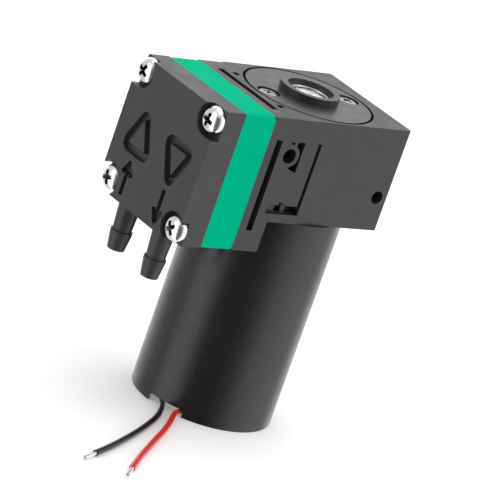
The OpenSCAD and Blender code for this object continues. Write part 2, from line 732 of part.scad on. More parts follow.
module housing() color([0.13, 0.13, 0.14]) {
    difference() {
        housing_block();
        // Room for the motor behind the lower part of the flange.
        translate([0, 0, -over]) cylinder(r = sleeve_r + flange_clear, h = motor_len + over);
        // Crank chamber, cover seat and the hole for the motor's nose.
        difference() {
            translate([0, 0, floor_top]) cylinder(d = chamber_d, h = housing_h);
            at_cover_screws() translate([0, 0, cover_seat - cover_boss_h])
                cylinder(d = cover_boss_d, h = cover_boss_h);
            // Webs that hold the bosses to the wall of a wider chamber.
            for (turn = [0, 180]) rotate([0, 0, turn])
                translate([-boss_web_w / 2, boss_web_from, cover_seat - cover_boss_h + eps])
                    cube([boss_web_w, boss_web_len, cover_boss_h - 2 * eps]);
        }
        translate([0, 0, cover_seat]) cylinder(d = cover_d + 2 * cover_gap, h = cover_t + over);
        translate([0, 0, motor_len - over]) cylinder(d = nose_d + 2 * free_gap, h = floor_t + 2 * over);
        at_motor_screws() translate([0, 0, motor_len - over])
            cylinder(d = motor_screw_d + 2 * free_gap, h = floor_t + 2 * over);
        at_cover_screws() translate([0, 0, cover_seat - cover_boss_h + 0.6])
            cylinder(d = cover_screw_d + 2 * press_gap, h = cover_boss_h);
        // Diaphragm recess, rod gate and screw holes in the flange.
        facing_head(plate_back + back_recess) cylinder(r = chamber_r, h = back_recess + over);
        translate([-gate_w / 2, plate_back, floor_top]) cube([gate_w, -plate_back, gate_h]);
        facing_head(-flange_back - 0.6) at_head_screws()
            cylinder(d = screw_d + 2 * press_gap, h = flange_t + over);
        on_both_sides() side_features();
        top_features();
    }
}

module motor_screws() color([0.75, 0.75, 0.78]) {
    at_motor_screws() translate([0, 0, floor_top])
        pan_screw(motor_screw_d, floor_t + can_top_t + 0.6, motor_screw_head_d, motor_screw_head_h);
}

module bearing_cover() color([0.16, 0.16, 0.17]) {
    difference() {
        union() {
            translate([0, 0, cover_seat]) cylinder(d = cover_d, h = cover_t);
            translate([0, 0, top_bearing_low - top_lip_t])
                cylinder(d = ring_d, h = top_z + ring_h - top_bearing_low + top_lip_t);
        }
        translate([0, 0, top_bearing_low])
            cylinder(d = top_bearing[1] + 2 * press_gap, h = top_bearing[2] + ring_h + over);
        translate([0, 0, top_bearing_low - top_lip_t - over])
            cylinder(d = top_bearing[1] - 1.6, h = top_lip_t + 2 * over);
        at_cover_screws() {
            translate([0, 0, cover_seat - over])
                cylinder(d = cover_screw_d + 2 * free_gap, h = cover_t + 2 * over);
            translate([0, 0, cover_screw_z]) cylinder(d = cover_screw_bore_d, h = cover_screw_head_h + over);
        }
    }
}

module cover_screws() color([0.5, 0.5, 0.52]) {
    at_cover_screws() translate([0, 0, cover_screw_z])
        pan_screw(cover_screw_d, cover_screw_len, cover_screw_head_d, cover_screw_head_h);
}

module motor_sleeve() color([0.1, 0.1, 0.11]) {
    difference() {
        tube(sleeve_d, sleeve_d - 2 * sleeve_wall, motor_len);
        rotate([0, 0, notch_turn]) translate([sleeve_r - notch_cut / 2, -notch_w / 2, -over]) {
            cube([notch_cut, notch_w, over + notch_h / 2]);
            translate([0, notch_h / 2, 0]) cube([notch_cut, notch_w - notch_h, notch_h + over]);
            for (side = [notch_h / 2, notch_w - notch_h / 2])
                translate([0, side, over + notch_h / 2]) rotate([0, 90, 0]) cylinder(d = notch_h, h = notch_cut);
        }
    }
}

module motor_can() color([0.66, 0.67, 0.69]) {
    difference() {
        union() {
            translate([0, 0, rim_drop]) cylinder(r = can_r, h = motor_len - rim_drop);
            translate([0, 0, motor_len - eps]) cylinder(d = nose_d, h = nose_h + eps);
        }
        translate([0, 0, rim_drop - over])
            cylinder(r = can_in_r, h = motor_len - rim_drop - can_top_t + over);
        translate([0, 0, motor_len - can_top_t - over])
            cylinder(d = bush_d + 2 * press_gap, h = can_top_t + nose_h + 2 * over);
        at_motor_screws() translate([0, 0, motor_len - can_top_t - over])
            cylinder(d = motor_screw_d + 2 * press_gap, h = can_top_t + 2 * over);
    }
}

module magnets() color([0.25, 0.25, 0.27]) {
    for (turn = [0, 180])
        rotate([0, 0, turn]) translate([0, 0, magnet_z])
            ring_sector(can_in_r - magnet_t, can_in_r - press_gap, magnet_len, magnet_half_angle);
}

module front_bush() color([0.7, 0.5, 0.25]) {
    translate([0, 0, motor_len - can_top_t]) tube(bush_d, shaft_d + 2 * run_gap, can_top_t + nose_h);
}

module rear_bush() color([0.7, 0.5, 0.25]) {
    translate([0, 0, rim_drop - boss_drop + 0.4])
        tube(bush_d, shaft_d + 2 * run_gap, cap_t + boss_drop - 0.4);
}

module end_cap() color([0.9, 0.9, 0.86]) {
    difference() {
        union() {
            translate([0, 0, rim_drop]) cylinder(r = can_in_r - press_gap, h = cap_t);
            translate([0, 0, rim_drop - boss_drop]) cylinder(d = cap_boss_d, h = boss_drop + eps);
        }
        translate([0, 0, rim_drop - boss_drop + 0.4])
            cylinder(d = bush_d + 2 * press_gap, h = cap_t + boss_drop);
        for (side = [-1, 1])
            translate([side * tab_at - tab_t / 2 - press_gap, -tab_w / 2 - press_gap, rim_drop - over])
            cube([tab_t + 2 * press_gap, tab_w + 2 * press_gap, cap_t + 2 * over]);
    }
}

module brushes() color([0.2, 0.2, 0.2]) {
    for (turn = [0, 180]) rotate([0, 0, turn]) translate([0, 0, comm_z + comm_len / 2]) difference() {
        translate([comm_d / 2 - 0.6, -brush_w / 2, -brush_h / 2])
            cube([brush_len + 0.6 + run_gap, brush_w, brush_h]);
        translate([0, 0, -comm_len]) cylinder(d = comm_d + 2 * run_gap, h = 2 * comm_len);
    }
}

// Each arm is a leaf that stands on the end cap behind its brush and goes down through the cap as a solder tab.
module brush_arms() color([0.8, 0.55, 0.3]) {
    for (turn = [0, 180]) rotate([0, 0, turn]) {
        translate([arm_at, -brush_w / 2, cap_top]) cube([arm_t, brush_w, comm_z + comm_len - cap_top]);
        translate([arm_at, -tab_w / 2, cap_top]) cube([tab_at + tab_t / 2 - arm_at, tab_w, arm_t]);
        translate([tab_at - tab_t / 2, -tab_w / 2, rim_drop - tab_drop])
            cube([tab_t, tab_w, cap_t + tab_drop + eps]);
    }
}

module motor_shaft() color([0.78, 0.78, 0.8]) {
    translate([0, 0, shaft_low]) cylinder(d = shaft_d, h = top_bearing_low - 1.4 - shaft_low);
}

module armature_core() color([0.45, 0.46, 0.48]) {
    slot_open = 1.6;
    translate([0, 0, core_z]) difference() {
        cylinder(r = core_r, h = core_len);
        translate([0, 0, -over]) cylinder(d = shaft_d + 2 * press_gap, h = core_len + 2 * over);
        for (i = [0:poles - 1]) rotate([0, 0, i * 360 / poles]) {
            translate([core_r * 0.62, 0, -over]) cylinder(r = core_r * 0.24, h = core_len + 2 * over);
            translate([core_r * 0.62, -slot_open / 2, -over]) cube([core_r, slot_open, core_len + 2 * over]);
        }
    }
}

// Copper in each slot of the core, joined by domed end turns above and below it.
module windings() color([0.75, 0.4, 0.2]) {
    mid_r = core_r * 0.62;
    slot_r = core_r * 0.24 - press_gap;
    for (i = [0:poles - 1]) rotate([0, 0, i * 360 / poles])
        translate([mid_r, 0, core_z - 0.5]) cylinder(r = slot_r, h = core_len + over);
    for (z = [core_z - end_turn_h, core_z + core_len]) translate([0, 0, z])
        tube(2 * (mid_r + slot_r + end_turn_grow), 2 * (mid_r - slot_r - end_turn_grow), end_turn_h);
}

module commutator() color([0.8, 0.5, 0.25]) {
    translate([0, 0, comm_z]) difference() {
        union() {
            cylinder(d = comm_d, h = comm_len);
            cylinder(d = comm_d - 2.2, h = core_z - comm_z);
        }
        translate([0, 0, -over]) cylinder(d = shaft_d + 2 * press_gap, h = core_z - comm_z + 2 * over);
        for (i = [0:poles - 1]) rotate([0, 0, i * 360 / poles])
            translate([comm_d / 2 - 0.8, -0.2, -over]) cube([2, 0.4, comm_len + 2 * over]);
    }
}

module thrust_washers() color([0.9, 0.88, 0.8]) {
    translate([0, 0, cap_top + run_gap]) tube(washer_d, shaft_d + 2 * press_gap, comm_z - cap_top - run_gap);
    translate([0, 0, core_z + core_len])
        tube(washer_d, shaft_d + 2 * press_gap, motor_len - can_top_t - run_gap - core_z - core_len);
}

// Unit direction of a route at point i.
function route_way(p, i) =
    let (a = p[max(i - 1, 0)], b = p[min(i + 1, len(p) - 1)]) (b - a) / norm(b - a);

// Smooth points between the route's own points.
function between(a, b, c, d, t) =
    0.5 * (2 * b + (c - a) * t + (2 * a - 5 * b + 4 * c - d) * t * t + (3 * b - a - 3 * c + d) * t * t * t);

function smooth_route(p, n) = let (last = len(p) - 1) concat(
    [for (i = [0:last - 1], k = [0:n - 1])
        between(p[max(i - 1, 0)], p[i], p[i + 1], p[min(i + 2, last)], k / n)],
    [p[last]]);

module swept_tube(p, r, sides) {
    rings = [for (i = [0:len(p) - 1])
        let (
            way = route_way(p, i),
            side = cross(way, [0, 0, 1]),
            across = side / norm(side),
            up = cross(across, way)
        )
        for (k = [0:sides - 1])
            let (turn = (k + 0.5) * 360 / sides)
            p[i] + r * (cos(turn) * across + sin(turn) * up)];
    last = len(p) - 1;
    polyhedron(rings, concat(
        [[for (k = [0:sides - 1]) k]],
        [for (i = [0:last - 1], k = [0:sides - 1])
            [i * sides + k, (i + 1) * sides + k,
                (i + 1) * sides + (k + 1) % sides, i * sides + (k + 1) % sides]],
        [[for (k = [sides - 1:-1:0]) last * sides + k]]));
}

module lead(route) {
    swept_tube(smooth_route(route, 2), lead_r, 8);
}

module lead_tip(route) {
    last = len(route) - 1;
    way = route_way(route, last);
    translate(route[last]) rotate([0, 90, atan2(way[1], way[0])]) cylinder(d = tip_d, h = tip_len);
}

module black_lead() color([0.08, 0.08, 0.08]) lead(black_route);
module red_lead() color([0.8, 0.1, 0.08]) lead(red_route);

module lead_tips() color([0.82, 0.82, 0.8]) {
    lead_tip(black_route);
    lead_tip(red_route);
}

pump_head();
head_seal();
valve_plate();
head_screws();
inlet_valve();
outlet_valve();
diaphragm();
clamp_disc();
diaphragm_screw();
connecting_rod();
rod_bearing_outer();
rod_bearing_inner();
rod_bearing_balls();
rod_bearing_cage();
eccentric();
counterweight();
grub_screw();
housing();
motor_screws();
bearing_cover();
cover_screws();
top_bearing_outer();
top_bearing_inner();
top_bearing_balls();
top_bearing_cage();
top_bearing_shields();
motor_sleeve();
motor_can();
magnets();
front_bush();
rear_bush();
end_cap();
brushes();
brush_arms();
motor_shaft();
armature_core();
windings();
commutator();
thrust_washers();
black_lead();
red_lead();
lead_tips();
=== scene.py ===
import bmesh
import bpy
import json
from math import cos, pi, radians, sin
from mathutils import Matrix, Vector


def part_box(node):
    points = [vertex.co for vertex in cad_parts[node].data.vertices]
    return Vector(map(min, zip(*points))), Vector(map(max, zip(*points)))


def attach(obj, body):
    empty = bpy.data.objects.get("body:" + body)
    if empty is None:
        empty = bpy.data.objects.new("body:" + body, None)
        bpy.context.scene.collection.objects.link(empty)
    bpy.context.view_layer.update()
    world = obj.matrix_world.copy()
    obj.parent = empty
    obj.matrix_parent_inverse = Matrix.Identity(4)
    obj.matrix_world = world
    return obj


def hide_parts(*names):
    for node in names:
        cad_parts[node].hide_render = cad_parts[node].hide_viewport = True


MM = 0.001

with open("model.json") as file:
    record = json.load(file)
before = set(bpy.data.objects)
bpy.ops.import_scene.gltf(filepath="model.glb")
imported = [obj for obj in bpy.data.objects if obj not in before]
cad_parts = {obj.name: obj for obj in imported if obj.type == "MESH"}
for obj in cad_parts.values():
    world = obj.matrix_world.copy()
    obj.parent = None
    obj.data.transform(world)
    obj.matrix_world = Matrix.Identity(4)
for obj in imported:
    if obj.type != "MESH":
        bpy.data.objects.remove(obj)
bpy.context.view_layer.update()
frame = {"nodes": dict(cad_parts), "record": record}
nodes = frame["nodes"]
scene = bpy.context.scene

# Camera: where the photograph was taken from, in millimetres, its roll and its lens
CAMERA_AT = (500.62, -448.18, 248.15)
CAMERA_TARGET = (3.85, -4.31, 33.20)
CAMERA_ROLL = 19.50
CAMERA_LENS = 269.0
SENSOR_WIDTH = 36.0
CAMERA_CLIP = (0.01, 10)


def link(obj):
    scene.collection.objects.link(obj)
    return obj


def aimed(at, target, roll=0.0):
    """Matrix that puts a camera or light at one point and turns it to another, both in millimetres."""
    at = Vector(at) * MM
    aim = (Vector(target) * MM - at).to_track_quat("-Z", "Y").to_matrix()
    return Matrix.Translation(at) @ (aim @ Matrix.Rotation(radians(roll), 3, "Z")).to_4x4()


def add_camera():
    data = bpy.data.cameras.new("photo_camera")
    data.lens = CAMERA_LENS
    data.sensor_width = SENSOR_WIDTH
    data.clip_start, data.clip_end = CAMERA_CLIP
    camera = link(bpy.data.objects.new("photo_camera", data))
    camera.matrix_world = aimed(CAMERA_AT, CAMERA_TARGET, CAMERA_ROLL)
    scene.camera = camera


# Leads: the route points of part.scad, in millimetres, from the solder tab to the bare end
LEAD_RADIUS = 0.6
LEAD_ROUNDNESS = 6
TIP_RADIUS = 0.4
TIP_LENGTH = 4.5
TIP_TUCK = 0.6
TIP_STEPS = 24
STRANDS = 7
STRAND_RADIUS = 0.14
STRAND_TURNS = 1.6
STRAND_SIDES = 8
WIRE_ANGLE = 60
BLACK_ROUTE = [
    (-7.9, -1.2, 1.1), (-7.8, -2.8, 1), (-7.1, -4.8, 1), (-5.6, -6.9, 0.9), (-3.4, -8.8, 0.9),
    (-0.8, -10.3, 0.8), (1.9, -11.4, 0.7), (4.4, -12.7, 0.6), (6.8, -14.6, 0.6), (9.3, -17.1, 0.6),
    (11.5, -19.8, 0.6), (13.6, -22.7, 0.6), (15.7, -25.8, 0.6), (17.8, -29.1, 0.6), (19.8, -32.4, 0.6),
    (21.8, -35.8, 0.6), (23.6, -39.1, 0.6), (25.2, -42.2, 0.6),
]
RED_ROUTE = [
    (7.9, -1.2, 1.1), (8.1, -2.4, 1), (8.2, -3.8, 1), (8.1, -5.4, 0.9), (7.8, -7.1, 0.8),
    (7.5, -8.8, 0.7), (7.4, -10.4, 0.6), (8.1, -12.2, 0.6), (9.7, -13.9, 0.6), (12.1, -16.2, 0.6),
    (14.6, -18.9, 0.6), (17.1, -21.8, 0.6), (19.7, -25, 0.6), (22.4, -28.2, 0.6), (25.1, -31.4, 0.6),
    (27.8, -34.4, 0.6), (30.6, -37.4, 0.6),
]
ROUTE_STEPS = 6


def smooth_route(points, steps):
    """Catmull-Rom points along a route, the same curve that part.scad sweeps its tube along."""
    last = len(points) - 1
    smooth = []
    for i in range(last):
        a, b, c, d = (Vector(points[j]) for j in (max(i - 1, 0), i, i + 1, min(i + 2, last)))
        for k in range(steps):
            t = k / steps
            smooth.append(0.5 * (2 * b + (c - a) * t + (2 * a - 5 * b + 4 * c - d) * t * t
                                 + (3 * b - a - 3 * c + d) * t * t * t))
    smooth.append(Vector(points[last]))
    return smooth


def add_lead(name, route, node):
    """A round cord; its points carry its radius in metres, so that the bound box has the cord's true size."""
    points = smooth_route(route, ROUTE_STEPS)
    curve = bpy.data.curves.new(name, "CURVE")
    curve.dimensions = "3D"
    curve.bevel_depth = 1
    curve.bevel_resolution = LEAD_ROUNDNESS
    curve.use_fill_caps = True
    spline = curve.splines.new("POLY")
    spline.points.add(len(points) - 1)
    for spot, place in zip(spline.points, points):
        spot.co = (*(place * MM), 1)
        spot.radius = LEAD_RADIUS * MM
    spline.use_smooth = True
    obj = link(bpy.data.objects.new(name, curve))
    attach(obj, "pump")
    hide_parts(node)
    return obj, points


# Mesh building, in millimetres and degrees
HARD_ANGLE = 30
BUILT_ANGLE = 35
STEEP = 0.9
ON_AXIS = 1e-6
MARGIN = 1


def drop_custom_normals(mesh):
    if "custom_normal" in mesh.attributes:
        mesh.attributes.remove(mesh.attributes["custom_normal"])


def clean_normals(mesh, angle=HARD_ANGLE):
    """Smooth shading with hard edges from the given angle on."""
    mesh.shade_smooth()
    drop_custom_normals(mesh)
    mesh.set_sharp_from_angle(angle=radians(angle))


def mesh_object(name, build, angle=BUILT_ANGLE):
    """A new mesh object from build(bm), which works in millimetres; its edges are hard from angle on."""
    bm = bmesh.new()
    build(bm)
    bmesh.ops.scale(bm, vec=(MM, MM, MM), verts=bm.verts)
    bmesh.ops.recalc_face_normals(bm, faces=bm.faces)
    mesh = bpy.data.meshes.new(name)
    bm.to_mesh(mesh)
    bm.free()
    clean_normals(mesh, angle)
    return link(bpy.data.objects.new(name, mesh))


def angles(sides):
    return [2 * pi * k / sides for k in range(sides)]


def around(radius, angle, height):
    """The point at a radius and an angle round the local Z axis."""
    return Vector((radius * cos(angle), radius * sin(angle), height))


def skin(bm, low, high):
    """Faces between two rings that have the same number of corners."""
    for k in range(len(low)):
        j = (k + 1) % len(low)
        bm.faces.new((low[k], low[j], high[j], high[k]))


def sweep(bm, points, radius, sides):
    """A closed tube along points."""
    rings = []
    for i, place in enumerate(points):
        way = (points[min(i + 1, len(points) - 1)] - points[max(i - 1, 0)]).normalized()
        side = (way.orthogonal() if abs(way.z) > STEEP else way.cross(Vector((0, 0, 1)))).normalized()
        up = side.cross(way)
        rings.append([bm.verts.new(place + radius * (cos(a) * side + sin(a) * up)) for a in angles(sides)])
    for low, high in zip(rings, rings[1:]):
        skin(bm, low, high)
    bm.faces.new(rings[0][::-1])
    bm.faces.new(rings[-1])


def add_tip(name, points):
    """Tinned strands at a lead's end, one straight and the others twisted round it."""
    end = points[-1]
    way = (points[-1] - points[-2]).normalized()
    side = way.cross(Vector((0, 0, 1))).normalized()
    up = side.cross(way)

    def build(bm):
        for strand in range(STRANDS):
            reach = 0 if strand == 0 else TIP_RADIUS - STRAND_RADIUS
            line = []
            for i in range(TIP_STEPS + 1):
                t = i / TIP_STEPS
                turn = 2 * pi * (strand / (STRANDS - 1) + STRAND_TURNS * t)
                middle = end + way * (TIP_LENGTH * t - TIP_TUCK)
                line.append(middle + reach * (cos(turn) * side + sin(turn) * up))
            sweep(bm, line, STRAND_RADIUS, STRAND_SIDES)
    obj = mesh_object(name, build, WIRE_ANGLE)
    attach(obj, "pump")
    return obj


add_camera()
black_lead, black_points = add_lead("black_insulation", BLACK_ROUTE, "black_lead")
red_lead, red_points = add_lead("red_insulation", RED_ROUTE, "red_lead")
black_tip = add_tip("black_lead_strands", black_points)
red_tip = add_tip("red_lead_strands", red_points)
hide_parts("lead_tips")
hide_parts("lead_tips")


# Materials: sizes of the noise in millimetres, and the ranges that it is read over
NOISE_MIDDLE = (0.3, 0.7)
MOULDED_TONE = 6
MOULDED_GLOSS = 2.5
MOULDED_GLOSS_DRIFT = 0.05
METAL_TONE = 3
RUBBER_TONE = 2
RUBBER_GLOSS = 1.2
RUBBER_GRAIN = 0.12
RUBBER_GRAIN_DEPTH = 0.008
RUBBER_ROUGH = (0.55, 0.75)
RUBBER_DRIFT = (0.8, 1.25)
# Painted shade in hollows: how far it looks in millimetres, its samples, and the occlusion range that is read
HOLLOW_SHADE_REACH = 0.9
HOLLOW_SHADE_SAMPLES = 8
HOLLOW_SHADE_RANGE = (0.45, 0.9)


def new_material(name):
    material = bpy.data.materials.new(name)
    material.use_nodes = True
    tree = material.node_tree
    return material, tree, tree.nodes["Principled BSDF"]


def add_noise(tree, size, detail=4.0, stretch=(1, 1, 1), seed=0.0):
    """Noise of the given grain size in millimetres, in the object's own coordinates."""
    coords = tree.nodes.new("ShaderNodeTexCoord")
    mapping = tree.nodes.new("ShaderNodeMapping")
    mapping.inputs["Scale"].default_value = [s / (size * MM) for s in stretch]
    mapping.inputs["Location"].default_value = (seed, seed * 2, seed * 3)
    noise = tree.nodes.new("ShaderNodeTexNoise")
    noise.inputs["Scale"].default_value = 1
    noise.inputs["Detail"].default_value = detail
    tree.links.new(coords.outputs["Object"], mapping.inputs["Vector"])
    tree.links.new(mapping.outputs["Vector"], noise.inputs["Vector"])
    return noise.outputs["Fac"]


def remap(tree, value, span, target, smooth=False):
    """Maps a value from the range span to the range target, and holds it there at both ends."""
    node = tree.nodes.new("ShaderNodeMapRange")
    node.interpolation_type = "SMOOTHSTEP" if smooth else "LINEAR"
    for name, number in zip(("From Min", "From Max", "To Min", "To Max"), (*span, *target)):
        node.inputs[name].default_value = number
    tree.links.new(value, node.inputs["Value"])
    return node.outputs["Result"]


def add_bump(tree, shader, value, depth):
    """Bump of a depth in millimetres."""
    bump = tree.nodes.new("ShaderNodeBump")
    bump.inputs["Strength"].default_value = 1
    bump.inputs["Distance"].default_value = depth * MM
    tree.links.new(value, bump.inputs["Height"])
    tree.links.new(bump.outputs["Normal"], shader.inputs["Normal"])


def roughen(tree, shader, noise, low, high):
    tree.links.new(remap(tree, noise, NOISE_MIDDLE, (low, high)), shader.inputs["Roughness"])


def tint(tree, shader, noise, dark, light):
    """Base colour that drifts between two close tones."""
    mix = tree.nodes.new("ShaderNodeMix")
    mix.data_type = "RGBA"
    mix.inputs["A"].default_value = (*dark, 1)
    mix.inputs["B"].default_value = (*light, 1)
    tree.links.new(remap(tree, noise, NOISE_MIDDLE, (0, 1)), mix.inputs["Factor"])
    tree.links.new(mix.outputs["Result"], shader.inputs["Base Color"])


def paint_hollow_shade(tree, shader, shade):
    """Painted shade: multiplies the base colour down where the piece closes in on itself, where little light
    reaches.
    """
    hollow = tree.nodes.new("ShaderNodeAmbientOcclusion")
    hollow.samples = HOLLOW_SHADE_SAMPLES
    hollow.only_local = True
    hollow.inputs["Distance"].default_value = HOLLOW_SHADE_REACH * MM
    mix = tree.nodes.new("ShaderNodeVectorMath")
    mix.operation = "SCALE"
    tree.links.new(shader.inputs["Base Color"].links[0].from_socket, mix.inputs["Vector"])
    tree.links.new(remap(tree, hollow.outputs["AO"], HOLLOW_SHADE_RANGE, (1 - shade, 1)), mix.inputs["Scale"])
    tree.links.new(mix.outputs["Vector"], shader.inputs["Base Color"])


def scaled(colour, by):
    return tuple(min(1, c * by) for c in colour)


def moulded(name, colour, rough=0.42, grain=0.16, depth=0.006, drift=0.08, specular=0.5):
    """Injection-moulded plastic: fine spark-eroded grain, slow drift of tone and gloss."""
    material, tree, shader = new_material(name)
    tone = add_noise(tree, MOULDED_TONE, 3, seed=5)
    gloss = add_noise(tree, MOULDED_GLOSS, 4, seed=9)
    tint(tree, shader, tone, scaled(colour, 1 - drift), scaled(colour, 1 + drift))
    roughen(tree, shader, gloss, rough - MOULDED_GLOSS_DRIFT, rough + MOULDED_GLOSS_DRIFT)
    shader.inputs["Specular IOR Level"].default_value = specular
    add_bump(tree, shader, add_noise(tree, grain, 3), depth)
    return material


def metal(name, colour, rough=0.25, vary=0.06, stretch=(1, 1, 1), size=0.5, depth=0.0015, drift=0.05,
          shade=0.0):
    """Metal with fine tool marks; stretch draws them out along an axis, and shade sets how strongly painted
    shade darkens its hollows.
    """
    material, tree, shader = new_material(name)
    marks = add_noise(tree, size, 4, stretch)
    shader.inputs["Metallic"].default_value = 1
    tone = add_noise(tree, METAL_TONE, 3, seed=4)
    tint(tree, shader, tone, scaled(colour, 1 - drift), scaled(colour, 1 + drift))
    # Painted shade: the base colour is darkened in the piece's own hollows, such as a screw's cross recess
    if shade:
        paint_hollow_shade(tree, shader, shade)
    roughen(tree, shader, marks, rough - vary, rough + vary)
    add_bump(tree, shader, marks, depth)
    return material


def rubber(name, colour):
    material, tree, shader = new_material(name)
    tint(tree, shader, add_noise(tree, RUBBER_TONE), *(scaled(colour, by) for by in RUBBER_DRIFT))
    roughen(tree, shader, add_noise(tree, RUBBER_GLOSS, seed=3), *RUBBER_ROUGH)
    add_bump(tree, shader, add_noise(tree, RUBBER_GRAIN, 2), RUBBER_GRAIN_DEPTH)
    return material


LOOKS = {
    "black_moulding": (moulded, (0.026, 0.026, 0.027), {}),
    "head_moulding": (moulded, (0.033, 0.033, 0.034), {}),
    "green_moulding": (moulded, (0.0, 0.47, 0.25), dict(rough=0.40, depth=0.003, drift=0.04, specular=0.002)),
    "cover_moulding": (moulded, (0.032, 0.032, 0.033), dict(rough=0.38)),
    # Painted shade for the joint round the cover, where hardly any light gets in
    "joint_shade": (moulded, (0.004, 0.004, 0.004), dict(rough=0.6, specular=0.05)),
    # The three screw looks below carry painted shade in their hollows
    "nickel_screw": (metal, (0.90, 0.90, 0.90), dict(rough=0.17, vary=0.05, shade=0.95)),
    "zinc_screw": (metal, (0.40, 0.40, 0.41), dict(rough=0.30, shade=0.95)),
    "cover_zinc": (metal, (0.34, 0.34, 0.35), dict(rough=0.24, shade=0.95)),
    "seal_rubber": (rubber, (0.02, 0.02, 0.02), {}),
    "valve_rubber": (rubber, (0.03, 0.03, 0.032), {}),
    "motor_black": (moulded, (0.012, 0.012, 0.0125), dict(rough=0.27, grain=0.3, depth=0.0008)),
    "can_steel": (metal, (0.62, 0.63, 0.65), dict(rough=0.30, stretch=(1, 1, 0.2))),
    "bearing_steel": (metal, (0.92, 0.92, 0.93), dict(rough=0.12)),
    "cage_steel": (metal, (0.62, 0.62, 0.63), dict(rough=0.24)),
    "shaft_steel": (metal, (0.93, 0.93, 0.94), dict(rough=0.2, stretch=(0.15, 0.15, 3), size=0.3)),
    "core_steel": (metal, (0.30, 0.31, 0.33), dict(rough=0.45, stretch=(0.1, 0.1, 4), depth=0.02)),
    "ferrite": (moulded, (0.03, 0.03, 0.033), dict(rough=0.6, grain=0.2, depth=0.02)),
    "copper": (metal, (0.80, 0.36, 0.18), dict(rough=0.28, size=0.4)),
    "bronze": (metal, (0.66, 0.42, 0.20), dict(rough=0.38, size=0.2, depth=0.006)),
    "weight_brass": (metal, (0.76, 0.56, 0.24), dict(stretch=(1, 0.1, 1))),
    "rod_plastic": (moulded, (0.70, 0.68, 0.60), dict(rough=0.4)),
    "cap_plastic": (moulded, (0.62, 0.60, 0.52), dict(rough=0.45)),
    "carbon": (moulded, (0.02, 0.02, 0.02), dict(rough=0.5, depth=0.015)),
    "black_insulation": (moulded, (0.012, 0.012, 0.012), dict(rough=0.30, grain=0.5, depth=0.002)),
    "red_insulation": (moulded, (0.72, 0.045, 0.036), dict(rough=0.30, grain=0.5, depth=0.002)),
    "tinned_copper": (metal, (0.80, 0.78, 0.75), dict(size=0.2)),
}
looks = {name: make(name, colour, **more) for name, (make, colour, more) in LOOKS.items()}


def wear(obj, look):
    """Gives all of obj one look."""
    obj.data.materials.clear()
    obj.data.materials.append(looks[look])


node_look = {part["node"]: part["material_slot"] for part in frame["record"]["subparts"]}
for lead, tip, look in ((black_lead, black_tip, "black_insulation"), (red_lead, red_tip, "red_insulation")):
    wear(lead, look)
    wear(tip, "tinned_copper")


# Sizes of part.scad that the dressed pieces share, in millimetres
HEAD_MID = 50.25
HEAD_FRONT = -30.5
POCKET_FLOOR = -28.65
SCREW_X = 10.9
SCREW_Z = 10.8
TOP_Z = 63.7
COVER_SCREW_Y = 9.6
COVER_SCREW_Z = 62.5
MOTOR_SCREW_X = 8
FLOOR_TOP = 44.9
CORE_Z = 15.95
CORE_TOP = 33.95
POLES = 5
STUB_TOP = 64.2
PLATE_BACK = -17.2
DIAPHRAGM_HUB = (-1.55, 0.35)
WEB_T = 0.7
TAB_X = 7.94

# CAD nodes are welded and their flat faces merged, before they are carved or rounded
WELD_REACH = 0.002
FLAT_ANGLE = 0.5
RING_SIDES = 96
RING_ANGLE = 40


def baked(obj):
    """Replaces an object's mesh by its evaluated shape and drops its modifiers."""
    bpy.context.view_layer.update()
    mesh = bpy.data.meshes.new_from_object(obj.evaluated_get(bpy.context.evaluated_depsgraph_get()))
    obj.modifiers.clear()
    obj.data = mesh


def carve(obj, cutters):
    """Cuts each cutter out of obj, then removes the cutters."""
    for cutter in cutters:
        cut = obj.modifiers.new("cut", "BOOLEAN")
        cut.operation = "DIFFERENCE"
        cut.solver = "MANIFOLD"
        cut.object = cutter
        baked(obj)
        bpy.data.objects.remove(cutter)


def node_copy(name, node):
    """A welded copy of a CAD node, free to be carved."""
    mesh = nodes[node].data.copy()
    bm = bmesh.new()
    bm.from_mesh(mesh)
    bmesh.ops.remove_doubles(bm, verts=bm.verts, dist=WELD_REACH * MM)
    bmesh.ops.dissolve_limit(bm, angle_limit=radians(FLAT_ANGLE), verts=bm.verts, edges=bm.edges)
    bm.to_mesh(mesh)
    bm.free()
    drop_custom_normals(mesh)
    return link(bpy.data.objects.new(name, mesh))


def carved_node(name, node, cutters, look, body="pump"):
    """A piece that stands for a CAD node with more cut out of it."""
    obj = node_copy(name, node)
    carve(obj, cutters)
    clean_normals(obj.data)
    wear(obj, look)
    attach(obj, body)
    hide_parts(node)
    return obj


def lathe(bm, profile, sides, place=Matrix()):
    """Turns (radius, height) pairs round the local Z axis; ends on the axis or not, the solid is closed."""
    rings = []
    for radius, height in profile:
        if radius < ON_AXIS:
            rings.append([bm.verts.new(place @ Vector((0, 0, height)))])
        else:
            rings.append([bm.verts.new(place @ around(radius, a, height)) for a in angles(sides)])
    for low, high in zip(rings, rings[1:]):
        if len(low) == len(high):
            skin(bm, low, high)
            continue
        for k in range(sides):
            j = (k + 1) % sides
            bm.faces.new((low[0], high[j], high[k]) if len(low) == 1 else (low[k], low[j], high[0]))
    for end in (rings[0], rings[-1]):
        if len(end) > 1:
            bm.faces.new(end)


def ring(bm, section, place=Matrix()):
    """Turns a closed (radius, height) outline round the local Z axis."""
    rings = [[bm.verts.new(place @ around(r, a, h)) for r, h in section] for a in angles(RING_SIDES)]
    for k in range(RING_SIDES):
        skin(bm, rings[k], rings[(k + 1) % RING_SIDES])


def add_ring(name, section, place, look, body, node=None):
    obj = mesh_object(name, lambda bm: ring(bm, section, place), RING_ANGLE)
    wear(obj, look)
    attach(obj, body)
    if node:
        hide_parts(node)


def hull(bm, points):
    verts = [bm.verts.new(Vector(p)) for p in points]
    bmesh.ops.convex_hull(bm, input=verts)


